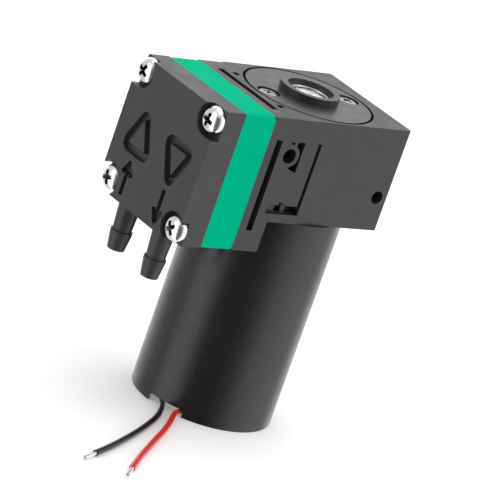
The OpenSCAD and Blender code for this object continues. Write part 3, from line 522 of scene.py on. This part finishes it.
def turned(degrees, axis="Z"):
    return Matrix.Rotation(radians(degrees), 4, axis)


def facing(x, y, z, spin=0.0):
    """Frame on a face that looks along -Y: its local Z points out of that face."""
    return Matrix.Translation((x, y, z)) @ turned(90, "X") @ turned(spin)


def upright(x, y, z, spin=0.0):
    """Frame on a face that looks along +Z."""
    return Matrix.Translation((x, y, z)) @ turned(spin)


# Screws, in millimetres, with their seat at local z = 0: across and depth are the cross recess's, and rim is
# the share of the head's height that is straight
HEAD_SCREW = dict(shank_d=2.6, length=15.6, head_d=5.25, head_h=2.15, rim=0.25, across=3.5, depth=1.3,
                  look="nickel_screw")
COVER_SCREW = dict(shank_d=2, length=3.6, head_d=3.8, head_h=1.1, rim=0.80, across=2.7, depth=0.8,
                   look="cover_zinc")
MOTOR_SCREW = dict(shank_d=2.5, length=3.0, head_d=4.4, head_h=1.4, rim=0.25, across=2.6, depth=0.8,
                   look="zinc_screw")
SCREW_SIDES = 40
SCREW_ANGLE = 38
# Shares of the shank's width
SHANK_CORE = 0.42
SHANK_POINT = 0.2
THREAD_ROOT = 0.40
THREAD_HEIGHT = 0.10
THREAD_PITCH = 0.3
# Shares of the head's width and height, and of the recess's width
HEAD_FOOT = ((0.46, 0), (0.49, 0.04), (0.5, 0.12))
WING_MOUTH = (0.5, 0.13)
WING_FLOOR = (0.2, 0.07)
PIT_TIP = 0.08
PIT_MOUTH = 0.2
PIT_DEPTH = 1.15
PIT_SIDES = 16
# Millimetres
SHANK_TAPER = 0.3
WING_ABOVE = 0.4
PIT_ABOVE = (0.05, 0.5)
THREAD_START = 0.3
THREAD_SHORT = 0.5
# Fineness and fullness of the crown and the thread
CROWN_STEPS = 9
CROWN_POWER = 0.8
THREAD_SIDES = 16
THREAD_STEPS = 6
THREAD_POWER = 0.7


def screw_profile(shank_d, length, head_d, head_h, rim):
    """(radius, height) pairs from the shank's point to the middle of the crown."""
    point, side = -length - SHANK_POINT * shank_d, head_h * rim
    profile = [(0, point), (shank_d * SHANK_POINT, point), (shank_d * SHANK_CORE, SHANK_TAPER - length),
               (shank_d * SHANK_CORE, 0)]
    profile += [(head_d * width, head_h * height) for width, height in HEAD_FOOT] + [(head_d * 0.5, side)]
    for i in range(1, CROWN_STEPS + 1):
        a = 0.5 * pi * i / CROWN_STEPS
        radius = head_d * 0.5 * cos(a) ** CROWN_POWER if i < CROWN_STEPS else 0
        profile.append((radius, side + (head_h - side) * sin(a)))
    return profile


def wing_cutter(top, across, depth, place):
    """One tapered wing pair of a cross recess."""
    points = [place @ Vector((sx * across * reach, sy * across * half, z))
              for (reach, half), z in ((WING_MOUTH, top + WING_ABOVE), (WING_FLOOR, top - depth))
              for sx in (-1, 1) for sy in (-1, 1)]
    return mesh_object("wing", lambda bm: hull(bm, points))


def recess_cutters(top, across, depth, place):
    pit = [(0, top - depth * PIT_DEPTH), (across * PIT_TIP, top - depth)]
    pit += [(across * PIT_MOUTH, top + above) for above in PIT_ABOVE]
    return [wing_cutter(top, across, depth, place @ turned(turn)) for turn in (0, 90)] + [
        mesh_object("pit", lambda bm: lathe(bm, pit, PIT_SIDES, place))]


def thread(bm, shank_d, length, place):
    """The rolled thread, a solid of its own round the shank."""
    pitch = shank_d * THREAD_PITCH
    reach = length - THREAD_SHORT
    count = int(reach / pitch * THREAD_STEPS)
    rings = []
    for i in range(count + 1):
        z = -THREAD_START - reach * i / count
        spots = []
        for k, a in enumerate(angles(THREAD_SIDES)):
            phase = (z / pitch + k / THREAD_SIDES) % 1
            height = 0 if i in (0, count) else THREAD_HEIGHT * (1 - abs(2 * phase - 1)) ** THREAD_POWER
            spots.append(bm.verts.new(place @ around(shank_d * (THREAD_ROOT + height), a, z)))
        rings.append(spots)
    for low, high in zip(rings, rings[1:]):
        skin(bm, low, high)
    bm.faces.new(rings[0])
    bm.faces.new(rings[-1])


def add_screw(name, place, shank_d, length, head_d, head_h, rim, across, depth, look):
    """Cross-recessed screw with a crowned head and a rolled thread."""
    profile = screw_profile(shank_d, length, head_d, head_h, rim)
    obj = mesh_object(name, lambda bm: lathe(bm, profile, SCREW_SIDES, place))
    carve(obj, recess_cutters(head_h, across, depth, place))
    shank = mesh_object("shank", lambda bm: thread(bm, shank_d, length, place))
    bm = bmesh.new()
    bm.from_mesh(obj.data)
    bm.from_mesh(shank.data)
    bm.to_mesh(obj.data)
    bm.free()
    bpy.data.objects.remove(shank)
    clean_normals(obj.data, SCREW_ANGLE)
    wear(obj, look)
    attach(obj, "pump")
    return obj


# Valve plate: the CAD node with its four long corners rounded further
PLATE_CORNER = 1.0
CORNER_STEPS = 8


def prism(bm, outline, y_from, y_to):
    """A closed outline of (x, z) pairs, drawn out along Y."""
    near, far = ([bm.verts.new((x, y, z)) for x, z in outline] for y in (y_from, y_to))
    bm.faces.new(near)
    bm.faces.new(far)
    skin(bm, near, far)


def corner_cutters(node, radius):
    (x0, y0, z0), (x1, y1, z1) = [[c / MM for c in corner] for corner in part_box(node)]
    cutters = []
    for x, sx in ((x0, -1), (x1, 1)):
        for z, sz in ((z0, -1), (z1, 1)):
            mid_x, mid_z = x - sx * radius, z - sz * radius
            bend = [0.5 * pi * i / CORNER_STEPS for i in range(CORNER_STEPS + 1)]
            outline = [(mid_x, z + sz * MARGIN)]
            outline += [(mid_x + sx * radius * sin(a), mid_z + sz * radius * cos(a)) for a in bend]
            outline += [(x + sx * MARGIN, mid_z), (x + sx * MARGIN, z + sz * MARGIN)]
            cutters.append(mesh_object("corner", lambda bm: prism(bm, outline, y0 - MARGIN, y1 + MARGIN)))
    return cutters


# Head: the CAD node with two generic loop marks and two flow arrows engraved in its face, in millimetres.
# Each row of MARKS is a loop's x, its arrow's x, and 1 for up or -1 for down.
MARKS = ((-5.8, -6.0, 1), (5.85, 5.7, -1))
MARK_DEPTH = 1.0
MARK_ABOVE = 0.5
LOOP_Z = 50.3
LOOP_HALF = 4.0
LOOP_BASE = 3.4
LOOP_POINT = 4.7
LOOP_BEND = 2.0
LOOP_STROKE = 1.7
BEND_STEPS = 10
ARROW_Z = 41.4
ARROW_TAIL = 3.2
ARROW_TIP = 3.1
ARROW_STROKE = 1.05
BARB_FROM = (0.25, 0.3)
BARB_TO = (1.45, 2.3)
BARB_OFFSET = 0.002


def rounded_loop(corners, cut):
    """A closed line round the corners, each replaced by a smooth bend that starts cut millimetres before it."""
    line = []
    for i, corner in enumerate(corners):
        before, after = corners[i - 1], corners[(i + 1) % len(corners)]
        start = corner + (before - corner).normalized() * cut
        end = corner + (after - corner).normalized() * cut
        for k in range(BEND_STEPS + 1):
            t = k / BEND_STEPS
            line.append(start * (1 - t) ** 2 + corner * 2 * t * (1 - t) + end * t ** 2)
    return line


def half_across(a, b, width):
    """Half a stroke's width, square to the way from a to b, in the face's own plane."""
    way = (b - a).normalized()
    return Vector((-way.y, way.x)) * width / 2


def loop_cutter(line, width, low, high):
    """A closed groove cutter along a line in the face's own plane."""
    def build(bm):
        rings = []
        for i, spot in enumerate(line):
            side = half_across(line[i - 1], line[(i + 1) % len(line)], width)
            rings.append([bm.verts.new((spot.x + s * side.x, y, spot.y + s * side.y))
                          for s, y in ((-1, low), (1, low), (1, high), (-1, high))])
        for i, corners in enumerate(rings):
            skin(bm, corners, rings[(i + 1) % len(rings)])
    return mesh_object("loop", build)


def bar_cutter(a, b, width, low, high):
    side = half_across(a, b, width)
    points = [(p.x + s * side.x, y, p.y + s * side.y)
              for p in (a, b) for s in (-1, 1) for y in (low, high)]
    return mesh_object("bar", lambda bm: hull(bm, points))


def mark_cutters():
    low, high = HEAD_FRONT - MARK_ABOVE, HEAD_FRONT + MARK_DEPTH
    cutters = []
    for loop_x, arrow_x, up in MARKS:
        base = LOOP_Z - up * LOOP_BASE
        corners = [Vector((loop_x - LOOP_HALF, base)), Vector((loop_x + LOOP_HALF, base)),
                   Vector((loop_x, LOOP_Z + up * LOOP_POINT))]
        cutters.append(loop_cutter(rounded_loop(corners, LOOP_BEND), LOOP_STROKE, low, high))
        tail = Vector((arrow_x, ARROW_Z - up * ARROW_TAIL))
        tip = Vector((arrow_x, ARROW_Z + up * ARROW_TIP))
        cutters.append(bar_cutter(tail, tip, ARROW_STROKE, low, high))
        for side in (-1, 1):
            start = tip + Vector((-side * BARB_FROM[0], up * BARB_FROM[1]))
            end = tip + Vector((side * BARB_TO[0], -up * BARB_TO[1]))
            cutters.append(bar_cutter(start, end, ARROW_STROKE, low, high + BARB_OFFSET * side))
    return cutters


plate = carved_node("valve_plate_rounded", "valve_plate", corner_cutters("valve_plate", PLATE_CORNER),
                    "green_moulding")
head = carved_node("pump_head_marked", "pump_head", mark_cutters(), "head_moulding")

# Where the screws sit, each with the turn of its recess in degrees: four in the head, two in the cover and
# two through the motor's end
HEAD_SCREWS = (("lb", -1, -1, 18), ("lt", -1, 1, 62), ("rb", 1, -1, 35), ("rt", 1, 1, 80))
COVER_SCREWS = (("front", -COVER_SCREW_Y, 52), ("rear", COVER_SCREW_Y, 20))
MOTOR_SCREWS = (("left", -MOTOR_SCREW_X, 10), ("right", MOTOR_SCREW_X, 70))
for corner, sx, sz, turn in HEAD_SCREWS:
    place = facing(sx * SCREW_X, POCKET_FLOOR, HEAD_MID + sz * SCREW_Z, turn)
    screw = add_screw(f"head_screw_{corner}", place, **HEAD_SCREW)
    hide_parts("head_screws")
for name, y, turn in COVER_SCREWS:
    screw = add_screw(f"cover_screw_{name}", upright(0, y, COVER_SCREW_Z, turn), **COVER_SCREW)
    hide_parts("cover_screws")
for name, x, turn in MOTOR_SCREWS:
    screw = add_screw(f"motor_screw_{name}", upright(x, 0, FLOOR_TOP, turn), **MOTOR_SCREW)
    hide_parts("motor_screws")

# Diaphragm: the clamped rim and rolled web stay with the housing, and the hub with its thin skirt rides on the
# rod. The skirt lies in front of the web and covers its opening. From rest the rod moves 2.4 mm forward and
# 1.2 mm to each side, so the skirt leaves the web and the rod's foot passes through the opening.
HUB_RADIUS = 4.4
HUB_EDGE_BACK = 0.3
HUB_EDGE_FRONT = 0.2
BORE_RADIUS = 1.27
WEB_SPAN = 5.2
WEB_FROM = 6.45
WEB_LOW = -0.6
WEB_RISE = 1.2
WEB_POWER = 2.25
WEB_RIPPLE = 0.06
WEB_WAVES = 6
WEB_STEPS = 20
RIM_FROM = 9.62
RIM_TO = 12
RIM_T = 1.2
RIM_EDGE = 0.15
SKIRT_TO = 6.85
SKIRT_T = 0.3
SKIRT_GAP = 0.06


def web_height(radius):
    t = (radius - HUB_RADIUS) / WEB_SPAN
    return WEB_LOW + WEB_RISE * t ** WEB_POWER + WEB_RIPPLE * sin(WEB_WAVES * pi * t) * sin(pi * t)


def web_line(first, last, above):
    """(radius, height) pairs along the web, a given height above its middle."""
    radii = [first + (last - first) * i / WEB_STEPS for i in range(WEB_STEPS + 1)]
    return [(radius, web_height(radius) + above) for radius in radii]


def membrane_section():
    web_to = HUB_RADIUS + WEB_SPAN
    rim = [(RIM_FROM, 0), (RIM_TO - RIM_EDGE, 0), (RIM_TO, RIM_EDGE), (RIM_TO, RIM_T - RIM_EDGE),
           (RIM_TO - RIM_EDGE, RIM_T), (RIM_FROM, RIM_T)]
    return web_line(WEB_FROM, web_to, -WEB_T / 2) + rim + web_line(web_to, WEB_FROM, WEB_T / 2)


def hub_section():
    low, high = DIAPHRAGM_HUB
    skirt_low = WEB_T / 2 + SKIRT_GAP
    back = [(BORE_RADIUS, low), (HUB_RADIUS - HUB_EDGE_BACK, low), (HUB_RADIUS, low + HUB_EDGE_BACK)]
    skirt = web_line(HUB_RADIUS, SKIRT_TO, skirt_low) + web_line(SKIRT_TO, HUB_RADIUS, skirt_low + SKIRT_T)
    front = [(HUB_RADIUS, high - HUB_EDGE_FRONT), (HUB_RADIUS - HUB_EDGE_FRONT, high), (BORE_RADIUS, high)]
    return back + skirt + front


diaphragm_place = facing(0, PLATE_BACK, HEAD_MID)
add_ring("diaphragm_membrane", membrane_section(), diaphragm_place, "seal_rubber", "pump", "diaphragm")
add_ring("diaphragm_hub", hub_section(), diaphragm_place, "seal_rubber", "rod")

# Windings: turns of enamelled wire laid round each tooth of the core. The radius of the turns and their lean
# away from the slot's middle, an angle stated at LEAN_RADIUS, start again after a stack of turns. Each turn
# rises above the last.
WIRE_RADIUS = 0.16
WIRE_SIDES = 6
TURNS_PER_POLE = 14
COIL_FROM = 4.3
COIL_STEP = 0.3
COIL_STACK = 12
LEAN_FROM = 0.16
LEAN_STEP = 0.05
LEAN_STACK = 4
LEAN_RADIUS = 5.75
RISE_FROM = 0.35
RISE_STEP = 0.11
COIL_BEND = 0.35
SPAN_STEPS = 8
SPAN_INSET = 0.04
SPAN_DIP = 0.1


def coil_span(radius, first, last, z, dip):
    """The part of a turn that crosses the core's end, with its two end points lowered by dip."""
    span = []
    for i in range(SPAN_STEPS + 1):
        share = SPAN_INSET + (1 - 2 * SPAN_INSET) * i / SPAN_STEPS
        span.append((radius, first + (last - first) * share, z - (dip if i in (0, SPAN_STEPS) else 0)))
    return span


def coil_turn(pole, turn):
    """One turn as (radius, angle, height) spots."""
    radius = COIL_FROM + COIL_STEP * (turn % COIL_STACK)
    lean = (LEAN_FROM + LEAN_STEP * (turn % LEAN_STACK)) * LEAN_RADIUS / radius
    rise = RISE_FROM + RISE_STEP * turn
    first, last = 2 * pi * pole / POLES + lean, 2 * pi * (pole + 1) / POLES - lean
    low, high = CORE_Z - rise, CORE_TOP + rise
    return ([(radius, first, low + COIL_BEND), (radius, first, high - COIL_BEND)]
            + coil_span(radius, first, last, high, SPAN_DIP)
            + [(radius, last, high - COIL_BEND), (radius, last, low + COIL_BEND)]
            + coil_span(radius, last, first, low, -SPAN_DIP))


def wind(bm):
    for pole in range(POLES):
        for turn in range(TURNS_PER_POLE):
            points = [around(*spot) for spot in coil_turn(pole, turn)]
            sweep(bm, points + points[:1], WIRE_RADIUS, WIRE_SIDES)


coil = mesh_object("coil_wire", wind, WIRE_ANGLE)
wear(coil, "copper")
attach(coil, "crank")
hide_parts("windings")

# Cover: the CAD node with its rim cut back, so that the joint round it reads as a dark line, with painted shade
# on the joint's upright faces
COVER_RADIUS = 12.7
COVER_GROOVE = 0.32
COVER_SEAT = 61.9
GROOVE_FLOOR = 0.3
JOINT_REACH = 0.15
UPRIGHT_LIMIT = 0.5


def groove(bm):
    inner, outer = COVER_RADIUS - COVER_GROOVE, COVER_RADIUS + MARGIN
    low, high = COVER_SEAT + GROOVE_FLOOR, TOP_Z + MARGIN
    ring(bm, [(inner, low), (outer, low), (outer, high), (inner, high)])


def shade_joint(mesh, radius):
    """Paints shade: gives the upright faces round the cover, where hardly any light gets in, a matt dark look.
    """
    mesh.materials.append(looks["joint_shade"])
    for face in mesh.polygons:
        middle = face.center / MM
        in_joint = middle.z > COVER_SEAT and abs(middle.xy.length - radius) < JOINT_REACH
        if in_joint and abs(face.normal.z) < UPRIGHT_LIMIT:
            face.material_index = len(mesh.materials) - 1


cover = carved_node("cover_grooved", "bearing_cover", [mesh_object("groove", groove)], "cover_moulding")
shade_joint(cover.data, COVER_RADIUS - COVER_GROOVE)

# Shaft stub in the top bearing, with its centre hole as (radius, height above the stub) pairs
CENTRE_HOLE = ((0, -1.1), (0.3, -0.8), (0.45, -0.4), (0.85, 0.05), (0.85, 0.5))
CENTRE_SIDES = 24
dimple = [(radius, STUB_TOP + height) for radius, height in CENTRE_HOLE]
dimple_cutter = mesh_object("dimple", lambda bm: lathe(bm, dimple, CENTRE_SIDES))
sleeve = carved_node("eccentric_centred", "eccentric", [dimple_cutter], "shaft_steel", "crank")

# Underside: solder on both tabs, tabs of the can folded over the end cap, and the cap's ring
SOLDER_AT = (-0.75, 1.15)
SOLDER_SIZE = (0.62, 0.75, 0.5)
SOLDER_RIPPLE = 0.08
SOLDER_ANGLE = 80
CAP_RING_Z = 2.4
CAP_RING = ((8.9, 0), (9.0, -0.35), (9.6, -0.35), (9.7, 0), (9.7, 0.2), (8.9, 0.2))
CRIMP_TURNS = (22, 142, 262)
# Each block of a crimp as x from and to, z from and to, and half its width
CRIMP_BLOCKS = ((12.3, 13.1, 2.0, 2.6, 1.6), (10.9, 12.7, 2.0, 2.42, 1.4))


def blob(bm, centre, size, seed):
    """A slightly uneven lump of solder."""
    for v in bmesh.ops.create_icosphere(bm, subdivisions=3, radius=1)["verts"]:
        ripple = 1 + SOLDER_RIPPLE * sin(3 * v.co.x + seed) * cos(4 * v.co.z + seed)
        v.co = Vector(centre) + v.co * Vector(size) * ripple


def crimp(bm, turn):
    for x0, x1, z0, z1, half in CRIMP_BLOCKS:
        hull(bm, [turned(turn) @ Vector((x, y, z))
                  for x in (x0, x1) for y in (-half, half) for z in (z0, z1)])


for name, sx in (("black", -1), ("red", 1)):
    centre = (sx * TAB_X, *SOLDER_AT)
    solder = mesh_object(f"{name}_solder", lambda bm: blob(bm, centre, SOLDER_SIZE, sx), SOLDER_ANGLE)
    wear(solder, "tinned_copper")
    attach(solder, "pump")
add_ring("end_cap_ring", CAP_RING, upright(0, 0, CAP_RING_Z), "cap_plastic", "pump")
for index, turn in enumerate(CRIMP_TURNS):
    tab = mesh_object(f"can_crimp_{index + 1}", lambda bm: crimp(bm, turn))
    wear(tab, "can_steel")
    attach(tab, "pump")

# Edges: every machined or moulded piece gets small rounded edges, in millimetres
EDGE_ANGLE = 32
EDGE_SEGMENTS = 2
BEVELS = {
    "housing": 0.1, "motor_sleeve": 0.1, "motor_can": 0.15,
    "connecting_rod": 0.2, "counterweight": 0.15, "armature_core": 0.05, "end_cap": 0.12, "front_bush": 0.08,
    "rear_bush": 0.08, "magnets": 0.2, "clamp_disc": 0.1, "motor_shaft": 0.1, "commutator": 0.04,
    "top_bearing_outer": 0.08, "top_bearing_inner": 0.06, "rod_bearing_outer": 0.08, "rod_bearing_inner": 0.06,
    "thrust_washers": 0.08, "head_seal": 0.15, "brushes": 0.1, "brush_arms": 0.06, "inlet_valve": 0.1,
    "outlet_valve": 0.1,
}


def round_edges(obj, width):
    bevel = obj.modifiers.new("round_edges", "BEVEL")
    bevel.width = width * MM
    bevel.segments = EDGE_SEGMENTS
    bevel.limit_method = "ANGLE"
    bevel.angle_limit = radians(EDGE_ANGLE)
    bevel.use_clamp_overlap = True
    bevel.harden_normals = True
    bevel.miter_outer = "MITER_ARC"


def weld(obj):
    merge = obj.modifiers.new("merge_points", "WELD")
    merge.merge_threshold = WELD_REACH * MM
    flat = obj.modifiers.new("merge_flat", "DECIMATE")
    flat.decimate_type = "DISSOLVE"
    flat.angle_limit = radians(FLAT_ANGLE)


for obj, width in ((head, 0.12), (plate, 0.1), (cover, 0.04), (sleeve, 0.08)):
    round_edges(obj, width)
for name, obj in nodes.items():
    if obj.hide_render:
        continue
    clean_normals(obj.data)
    wear(obj, node_look[name])
    # The housing's wall at the cover joint gets the same painted shade
    if name == "housing":
        shade_joint(obj.data, COVER_RADIUS)
    if name in BEVELS:
        weld(obj)
        round_edges(obj, BEVELS[name])


# Stage: a pale floor that glows a little, just under the pump, a soft box and a pale world
FLOOR_GLOW = 0.2
FLOOR_DROP = 0.02
FLOOR_HALF = 3
FLOOR_ROUGH = 0.9
FLOOR_GRAIN = 40
FLOOR_TONES = ((0.93, 0.93, 0.93), (0.95, 0.95, 0.95))
SOFTBOX_AT = (-40, 80, 520)
SOFTBOX_TARGET = (0, -5, 60)
SOFTBOX_SIZE = (420, 420)
SOFTBOX_POWER = 1.0
# World: its level round about, then strips as (direction in degrees from +X, half width, change of level), and
# its level overhead, which takes over between two heights of the direction
SURROUND = 0.62
STRIPS = ((-42, 32, -0.50), (-99, 20, 1.0), (41, 30, 0.75), (138, 50, 0.62))
STRIP_EDGE = (1.5, 0.5)
OVERHEAD = 0.75
OVERHEAD_RANGE = (0.45, 0.85)


def add_floor():
    mesh = bpy.data.meshes.new("floor")
    bm = bmesh.new()
    bmesh.ops.create_grid(bm, x_segments=1, y_segments=1, size=FLOOR_HALF)
    bm.to_mesh(mesh)
    bm.free()
    floor = link(bpy.data.objects.new("floor", mesh))
    material, tree, shader = new_material("floor_paper")
    shader.inputs["Roughness"].default_value = FLOOR_ROUGH
    shader.inputs["Emission Color"].default_value = (1, 1, 1, 1)
    shader.inputs["Emission Strength"].default_value = FLOOR_GLOW
    tint(tree, shader, add_noise(tree, FLOOR_GRAIN), *FLOOR_TONES)
    floor.data.materials.append(material)
    floor.location.z = -FLOOR_DROP * MM
    floor.visible_glossy = False


def add_softbox():
    data = bpy.data.lights.new("top_softbox", "AREA")
    data.shape = "RECTANGLE"
    data.size, data.size_y = (s * MM for s in SOFTBOX_SIZE)
    data.energy = SOFTBOX_POWER
    light = link(bpy.data.objects.new("top_softbox", data))
    light.matrix_world = aimed(SOFTBOX_AT, SOFTBOX_TARGET)


def add_world():
    """Pale surround, darker behind the camera and brighter in three broad strips; the camera sees it white."""
    world = bpy.data.worlds.new("studio")
    world.use_nodes = True
    tree = world.node_tree
    background = tree.nodes["Background"]
    coords = tree.nodes.new("ShaderNodeTexCoord")
    apart = tree.nodes.new("ShaderNodeSeparateXYZ")
    tree.links.new(coords.outputs["Generated"], apart.inputs["Vector"])

    def calc(operation, a, b=0.0):
        node = tree.nodes.new("ShaderNodeMath")
        node.operation = operation
        for socket, value in zip(node.inputs, (a, b)):
            if isinstance(value, (int, float)):
                socket.default_value = value
            else:
                tree.links.new(value, socket)
        return node.outputs["Value"]

    def blend(low, high, share):
        return calc("ADD", calc("MULTIPLY", low, calc("SUBTRACT", 1.0, share)), calc("MULTIPLY", share, high))
    level = SURROUND
    azimuth = calc("ARCTAN2", apart.outputs["Y"], apart.outputs["X"])
    for centre, half, change in STRIPS:
        turn = calc("FLOORED_MODULO", calc("SUBTRACT", azimuth, radians(centre) - pi), 2 * pi)
        away = calc("ABSOLUTE", calc("SUBTRACT", turn, pi))
        edge = [radians(half * share) for share in STRIP_EDGE]
        level = calc("ADD", level, remap(tree, away, edge, (0, change), smooth=True))
    high_up = remap(tree, apart.outputs["Z"], OVERHEAD_RANGE, (0, 1), smooth=True)
    level = blend(level, OVERHEAD, high_up)
    seen = tree.nodes.new("ShaderNodeLightPath").outputs["Is Camera Ray"]
    level = blend(level, 1.0, seen)
    tree.links.new(level, background.inputs["Strength"])
    background.inputs["Color"].default_value = (1, 1, 1, 1)
    scene.world = world


add_floor()
add_softbox()
add_world()
scene.view_settings.view_transform = "Standard"

bpy.context.view_layer.update()
